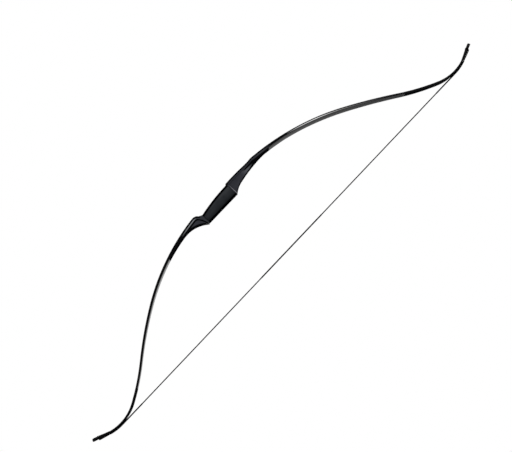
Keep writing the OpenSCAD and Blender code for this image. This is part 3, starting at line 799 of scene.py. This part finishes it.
def sealed_core(name, edge, belly_line, broad_shade_depth, painted_highlight=None):
    """Hardwood laminations, their edges sealed: satin grey beside the riser, lightened by a painted sheen
    that is palest on the lower limb, and flat black beyond it, with black painted shade along both arrises,
    and the grain just felt. edge gives tones by mm along the limb, and so does the last argument, a thin pale
    painted highlight beside the back's black line. belly_line is the stretch where the belly's arris has
    black painted shade beside the riser, and the argument after it is how deep the back's black painted shade
    is there."""
    mat, tree, surface = start_finish(name, 0.5, 0.02)
    grain = flecked(tree, (50, 0.9, 0.9), 4.0, rough=0.65)[0]
    first, last = edge[0][0], (painted_highlight or edge)[-1][0]
    place = add(tree, "ShaderNodeMapRange", feeds={
        "Value": lie_part(tree, "X"), "From Min": first * MM, "From Max": last * MM}).outputs["Result"]

    def tones_along(table):
        stops = [((u - first) / (last - first), code) for u, code in table]
        return add(tree, "ShaderNodeValToRGB", feeds={"Fac": place}, stops=stops).outputs["Color"]

    start, end = belly_line
    # Black painted shade inside the belly's arris, beside the riser.
    tone = laid_over(tree, tones_along(edge), PAINTED_SHADE_BLACK, ("Z", *BELLY_LINE_DEEP),
                     ("X", start - BELLY_FADE_IN, start + BELLY_FADE_IN),
                     ("X", end + BELLY_FADE_OUT, end - BELLY_FADE_OUT))
    # A pale painted highlight along the side, beside the back's black line.
    if painted_highlight:
        highlight_start = painted_highlight[0][0]
        tone = laid_over(tree, tone, tones_along(painted_highlight), ("Z", *HIGHLIGHT_DEEP),
                         ("X", highlight_start, highlight_start + HIGHLIGHT_FADE))
    # Black painted shade along the back's arris, thin far out and broad beside the riser.
    for deep, end in ((THIN_LINE_DEEP, THIN_LINE_END), (broad_shade_depth, BROAD_LINE_END)):
        tone = laid_over(tree, tone, PAINTED_SHADE_BLACK, ("Z", deep + LINE_SOFT, deep - LINE_SOFT),
                         ("X", end + BACK_FADE, end), ("X", *PAST_NOSE))
    speck = add(tree, "ShaderNodeMapRange", feeds={
        "Value": grain, "From Min": NOISE_LOW, "From Max": NOISE_HIGH, "To Min": 0.85, "To Max": 1.15})
    speckled = add(tree, "ShaderNodeHueSaturation", feeds={"Value": speck.outputs["Result"], "Color": tone})
    finish_off(tree, surface, speckled.outputs["Color"], relief=(grain, 0.05, 0.5))
    return mat


# Places on the wedges and the collar, in mm from where a tone starts to where it is full: a grey painted
# highlight up the upper wedge, black painted shade at the wedges' ends, a black painted shadow in the seams,
# black painted shade along the arrises, and a pale painted highlight along the shelf
WEDGE_HIGHLIGHT_Z = (82, 108)
WEDGE_END_SHADE_Z = ((110, 126), (-104, -116))
SEAM_SHADOW_Z, SEAM_SHADOW_DEEP = ((90, 102), (-60, -66)), (3.8, 2.8)
LACQUER_ARRIS_SHADE = (2.4, 1.1)
SHELF_HIGHLIGHT_Z, SHELF_HIGHLIGHT_TOP = (SHELF_Z - 1.3, SHELF_Z - 0.9), (SHELF_Z + 0.2, SHELF_Z)
SHELF_HIGHLIGHT_DEEP = (36, 6)


def riser_lacquer():
    """Satin black lacquer on a shaped riser: soft broad highlights with a faint orange peel. Painted on it
    are a grey highlight up the upper wedge, black shade at the wedges' ends, a black shadow in the seams,
    black shade along the arrises, and a pale highlight along the shelf's edge."""
    mat, tree, surface = start_finish("satin_black_lacquer", 0.45, 0.02)
    peel = flecked(tree, (1.6, 1.6, 1.6), 2.0, lie=False)[0]
    clouds, tone = flecked(tree, (24, 14, 30), 3.0, ("#2c2d32", "#36373d"), lie=False)
    # A grey painted highlight up the upper wedge.
    tone = laid_over(tree, tone, "#54565b", ("X", *WEDGE_HIGHLIGHT_Z))
    # Black painted shade at the wedges' ends.
    for end in WEDGE_END_SHADE_Z:
        tone = laid_over(tree, tone, "#0b0b0c", ("X", *end))
    # A black painted shadow in each seam between band and wedge.
    for seam in SEAM_SHADOW_Z:
        tone = laid_over(tree, tone, PAINTED_SHADE_BLACK, ("X", *seam), ("Y", *SEAM_SHADOW_DEEP))
    # Black painted shade along the arrises.
    tone = laid_over(tree, tone, PAINTED_SHADE_BLACK, ("Z", *LACQUER_ARRIS_SHADE))
    # A pale painted highlight along the shelf's edge.
    tone = laid_over(tree, tone, "#98989c", ("X", *SHELF_HIGHLIGHT_Z), ("X", *SHELF_HIGHLIGHT_TOP),
                     ("Y", *SHELF_HIGHLIGHT_DEEP))
    finish_off(tree, surface, tone, (clouds, 0.4, 0.52), (peel, 0.04, 0.5))
    return mat


# Distances from the throat over which the grip greys with painted light, a little and then more towards the
# front, and how far in the black painted shade along its arrises reaches
GRIP_LIT_MIDDLE, GRIP_LIT_FRONT, RUBBER_ARRIS_SHADE = (3, 18), (18, 28), (3.6, 1.6)


def grip_rubber():
    """Moulded rubber with a pebbled face: matte, with painted light that makes it a little greyer towards the
    front, and black painted shade along the arrises."""
    mat, tree, surface = start_finish("pebbled_black_rubber", 0.62, 0.0)
    pebbles = add(tree, "ShaderNodeTexVoronoi", {"feature": "SMOOTH_F1"}, {
        "Vector": pattern_place(tree, (1.5, 1.5, 1.5), lie=False), "Scale": 1.0, "Smoothness": 0.6})
    shades = ("#1a1c1e", "#222427"), ("#25272a", "#2f3134"), ("#303235", "#3b3d40")
    # Copies of one tone, painted darker at the throat and lighter towards the front for light and shade.
    wear, throat, lit_middle, front = flecked(tree, (14, 14, 26), 3.0, *shades, lie=False)
    tone = laid_over(tree, throat, lit_middle, ("Y", *GRIP_LIT_MIDDLE))
    tone = laid_over(tree, tone, front, ("Y", *GRIP_LIT_FRONT))
    # Black painted shade along the arrises.
    tone = laid_over(tree, tone, PAINTED_SHADE_BLACK, ("Z", *RUBBER_ARRIS_SHADE))
    finish_off(tree, surface, tone, (wear, 0.55, 0.68), (pebbles.outputs["Distance"], -0.12, 0.7))
    return mat


def overlay_phenolic():
    """Black phenolic, filed and polished: a deep even gloss with hairline file marks along it, which are
    drawn 0.4 mm apart to show."""
    mat, tree, surface = start_finish("polished_black_phenolic", 0.2, 0.2)
    marks, tone = flecked(tree, (12, 0.4, 0.4), 2.0, ("#050506", "#0b0b0c"))
    finish_off(tree, surface, tone, (marks, 0.15, 0.27))
    return mat


def waxed_strands():
    """Polyester strands, waxed: black with a soft waxy sheen and lighter fibres here and there."""
    mat, tree, surface = start_finish("waxed_polyester_strands", 0.5, 0.02)
    fluff, tone = flecked(tree, (6, 40, 40), 4.0, ("#030304", "#0a0a0b"))
    finish_off(tree, surface, tone, (fluff, 0.42, 0.6))
    return mat


def serving_thread():
    """Braided nylon serving: tight black turns with a dull shine on each."""
    mat, tree, surface = start_finish("black_nylon_serving", 0.45, 0.03)
    braid, tone = flecked(tree, (0.9, 120, 40), 2.0, ("#030304", "#0a0a0b"))
    finish_off(tree, surface, tone, (braid, 0.38, 0.52))
    return mat


# Tones of the limbs' edges, by mm along the limb: satin grey beside the riser with a painted sheen, pale
# there on the lower limb as a painted highlight, then black; and the upper edge's pale painted highlight
# further out
UPPER_EDGE = [(0, "#2c2d32"), (50, "#2e2f34"), (84, "#38393c"), (110, "#060607")]
UPPER_EDGE_HIGHLIGHT = [(160, "#0a0a0b"), (180, "#8c8c8c"), (205, "#d4d4d4"), (250, "#ececec"), (284, "#bcbcbc"),
                (316, "#8c8c8c"), (345, "#707070"), (400, "#484848"), (440, "#141415")]
LOWER_EDGE = [(-95, "#303236"), (-30, "#34363a"), (2, "#84868a"), (30, "#7a7c7e"), (54, "#0a0a0b")]

GLASS = glass_laminate("polished_glass_laminate", gloss=0.12, specular=0.5)
SPRAYED = glass_laminate("sprayed_glass_laminate", gloss=0.6, specular=0.0)
CORE = {
    "upper": sealed_core("sealed_upper_maple", UPPER_EDGE, belly_line=(24, 50), broad_shade_depth=3.9,
                         painted_highlight=UPPER_EDGE_HIGHLIGHT),
    "lower": sealed_core("sealed_lower_maple", LOWER_EDGE, belly_line=(-100, 50), broad_shade_depth=4.9)}
LACQUER, RUBBER = riser_lacquer(), grip_rubber()
PHENOLIC, STRANDS, SERVING = overlay_phenolic(), waxed_strands(), serving_thread()


# Laying up the bow

# The glass is sprayed for this far past the limb's start, and again beyond this height at the tip.
SPRAYED_LEN = {"upper": 98, "lower": 116}
SPRAYED_TIP_Z = {"upper": 530, "lower": 510}


def dress(made, mat, slot, *nodes):
    """Finishes a piece, and hides the imported parts of the nodes that it stands for. slot is not used."""
    made.data.materials.append(mat)
    if nodes:
        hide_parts(*nodes)
    return made


def spray(laminate, limb, end):
    """Gives the faces beside the riser and at the tip the sprayed finish."""
    laminate.data.materials.append(SPRAYED)
    bare_z = (limb["start"][1] + SPRAYED_LEN[end]) * MM, SPRAYED_TIP_Z[end] * MM
    for face in laminate.data.polygons:
        if not bare_z[0] < limb["up"] * face.center.z < bare_z[1]:
            face.material_index = 1


def lay_up(limb, end):
    """A limb's laminations, with its tip's overlay and loop, and its wedge."""
    limb_body = f"{end}_limb"
    back = lamination(f"{end}_back_laminate", limb, 0, GLASS_T, GLASS_ROUND, SEAM_ROUND, first=-NOSE_LEAD)
    core = lamination(f"{end}_core_laminate", limb, GLASS_T, -GLASS_T, SEAM_ROUND, SEAM_ROUND,
                      slack=CORE_INSET)
    belly = belly_glass(f"{end}_belly_laminate", limb)
    dress(back, GLASS, "glass_fibre", f"{end}_back_glass", f"{end}_back_strip")
    dress(core, CORE[end], "limb_core", f"{end}_core")
    dress(belly, GLASS, "glass_fibre", f"{end}_belly_glass", f"{end}_ramp_glass")
    for laminate in (back, belly):
        spray(laminate, limb, end)
    hinge = set_down(limb, spot(limb, limb["fade"], ROOT_T / 2), 0)
    far = set_down(limb, spot(limb, limb["fade"] + BEND_LEN, ROOT_T / 2), 0)
    for laminate in (back, core, belly):
        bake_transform(laminate)
    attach(dress(overlay(f"{end}_overlay", limb), PHENOLIC, "overlay", f"{end}_tip_overlay"), limb_body)
    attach(dress(string_loop(f"{end}_loop", limb), SERVING, "serving", f"{end}_string_loop"), limb_body)
    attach(dress(wedge(f"{end}_wedge", limb), LACQUER, "riser"), "riser")


def string_up(limb, end):
    """Half the string: its strands and end serving round the recurve, and the centre serving on its own body.
    """
    whole = string_len(limb)
    served = SERVING_ABOVE if limb["up"] > 0 else SERVING_BELOW
    step = THREAD_PITCH / 4
    stations = run_of((0, WRAPPED, 1.5), (WRAPPED, whole, 1.75))
    bare = round_string(f"{end}_strands", limb, stations, STRAND_FACETS, strands)
    dress(bare, STRANDS, "string", f"{end}_tail_strands", f"{end}_run_strands")
    first, last = END_SERVING_START, WRAPPED + END_SERVING
    turns = run_of((first, last, step))
    end_wrap = round_string(f"{end}_end_wrap", limb, turns, THREAD_FACETS, wound(first, last))
    dress(end_wrap, SERVING, "serving", f"{end}_end_serving", f"{end}_run_serving")
    start, stop = (set_down(limb, string_point(limb, WRAPPED + k)[0], 0) for k in (-PEEL_LEN, PEEL_LEN))
    for cord in (bare, end_wrap):
        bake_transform(cord)
    # The halves' servings meet at the nocking point, and aren't rounded off there.
    first, past = whole - served, whole + SERVING_PAST
    turns = run_of((first, whole, step))
    centre = round_string(f"{end}_centre_wrap", limb, turns, THREAD_FACETS, wound(first, past))
    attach(dress(centre, SERVING, "serving", f"{end}_centre_serving"), f"{end}_run")


for limb, end in ((UPPER, "upper"), (LOWER, "lower")):
    lay_up(limb, end)
    string_up(limb, end)
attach(dress(make_collar(), LACQUER, "riser", "riser_block"), "riser")
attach(dress(make_grip(), RUBBER, "grip", "grip_sleeve"), "riser")


# Studio, in metres

FLOOR_HALF, FLOOR_DROP = 1.6, 0.8
WHITE = (1, 1, 1, 1)


def backdrop_seen(tree):
    """1 where the camera, gloss or something clear sees a backdrop, and 0 for the light that it throws."""
    rays = add(tree, "ShaderNodeLightPath")
    seen = rays.outputs["Is Camera Ray"]
    for kind in ("Is Glossy Ray", "Is Transmission Ray"):
        both = add(tree, "ShaderNodeMath", {"operation": "ADD", "use_clamp": True}, {
            0: seen, 1: rays.outputs[kind]})
        seen = both.outputs[0]
    return seen


def white_paper():
    """Plain white paper. What the camera sees of it is lifted towards white, and keeps the shadows."""
    mat, tree = blank_finish("white_paper")
    paper = add(tree, "ShaderNodeBsdfPrincipled", feeds={
        "Base Color": linear("#ececec"), "Roughness": 0.85, "IOR": 1.5, "Specular IOR Level": 0.2})
    lift = add(tree, "ShaderNodeEmission", feeds={"Color": WHITE, "Strength": 1.0})
    share = add(tree, "ShaderNodeMath", {"operation": "MULTIPLY"}, {0: backdrop_seen(tree), 1: 0.7})
    mix = add(tree, "ShaderNodeMixShader", feeds={
        0: share.outputs[0], 1: paper.outputs["BSDF"], 2: lift.outputs[0]})
    add(tree, "ShaderNodeOutputMaterial", feeds={"Surface": mix.outputs[0]})
    return mat


def lay_floor():
    """A sheet of paper under the bow."""
    bm = bmesh.new()
    bmesh.ops.create_grid(bm, x_segments=1, y_segments=1, size=FLOOR_HALF)
    bmesh.ops.translate(bm, verts=bm.verts, vec=(0, 0, cad_box[0][2] - FLOOR_DROP))
    floor = piece("floor", bm)
    floor.data.materials.append(white_paper())


def grey_flag(name, place, reach, low, high):
    """A grey cloth on a frame, behind a limb, that only polished surfaces see. low and high are each a height
    and the cloth's brightness there."""
    bm = bmesh.new()
    bmesh.ops.create_grid(bm, x_segments=1, y_segments=1, size=reach)
    bmesh.ops.rotate(bm, verts=bm.verts, matrix=Matrix.Rotation(radians(90), 3, "X"))
    bmesh.ops.translate(bm, verts=bm.verts, vec=place)
    flag = piece(name, bm)
    mat, tree = blank_finish(f"{name}_cloth")
    where = add(tree, "ShaderNodeTexCoord").outputs["Object"]
    height = add(tree, "ShaderNodeSeparateXYZ", feeds={"Vector": where}).outputs["Z"]
    shade = add(tree, "ShaderNodeMapRange", feeds={
        "Value": height, "From Min": low[0], "To Min": low[1], "From Max": high[0], "To Max": high[1]})
    glow = add(tree, "ShaderNodeEmission", feeds={"Color": WHITE, "Strength": shade.outputs["Result"]})
    add(tree, "ShaderNodeOutputMaterial", feeds={"Surface": glow.outputs[0]})
    flag.data.materials.append(mat)
    flag.visible_camera = flag.visible_diffuse = flag.visible_transmission = flag.visible_shadow = False


def pale_sky():
    """An even sky: white to the eye, and softer as the light that it throws."""
    world = bpy.data.worlds.new("studio")
    bpy.context.scene.world = world
    world.use_nodes = True
    tree = world.node_tree
    tree.nodes.clear()
    strength = add(tree, "ShaderNodeMapRange", feeds={
        "Value": backdrop_seen(tree), "To Min": 0.6, "To Max": 1.0}).outputs["Result"]
    sky = add(tree, "ShaderNodeBackground", feeds={"Color": WHITE, "Strength": strength})
    add(tree, "ShaderNodeOutputWorld", feeds={"Surface": sky.outputs[0]})


def lamp(name, place, size, watts):
    """A round soft lamp, turned to the grip."""
    light = bpy.data.lights.new(name, "AREA")
    light.shape, light.size, light.energy = "DISK", size, watts
    made = bpy.data.objects.new(name, light)
    made.location = place
    made.rotation_euler = (-Vector(place)).to_track_quat("-Z", "Y").to_euler()
    bpy.context.collection.objects.link(made)


lay_floor()
# The upper belly is turned towards a dark flag and the lower belly towards a pale one.
grey_flag("upper_flag", place=(0.2, 0.6, 0.61), reach=0.5, low=(0.2, 0.26), high=(0.55, 0.1))
grey_flag("lower_flag", place=(0.0, 0.6, -0.25), reach=0.3, low=(-0.5, 0.6), high=(0.0, 0.6))
pale_sky()
lamp("key", place=(-2.4, -2.6, 1.6), size=1.6, watts=50)
lamp("fill", place=(2.2, -2.0, -0.2), size=1.4, watts=14)

# The camera stands to the archer's left, a little behind the grip and below it, rolled as the photograph is.
AZIMUTH, ELEVATION, ROLL, DISTANCE = radians(6.84), radians(-7.22), radians(43.52), 7.0
AIM = Vector((0.0932, 0, 0.0107))
MM_PER_PIXEL, FRAME_W, SENSOR_W = 2.6054, 512, 36

away = Vector((sin(AZIMUTH) * cos(ELEVATION), -cos(AZIMUTH) * cos(ELEVATION), sin(ELEVATION)))
roll = Matrix.Rotation(ROLL, 3, "Z").to_quaternion()
camera = bpy.data.objects.new("camera", bpy.data.cameras.new("camera"))
bpy.context.collection.objects.link(camera)
camera.data.sensor_width = SENSOR_W
camera.data.lens = SENSOR_W * DISTANCE / (MM_PER_PIXEL * MM * FRAME_W)
camera.location = AIM + away * DISTANCE
camera.rotation_mode = "QUATERNION"
camera.rotation_quaternion = (-away).to_track_quat("-Z", "Y") @ roll
bpy.context.scene.camera = camera
bpy.context.scene.view_settings.view_transform = "Standard"
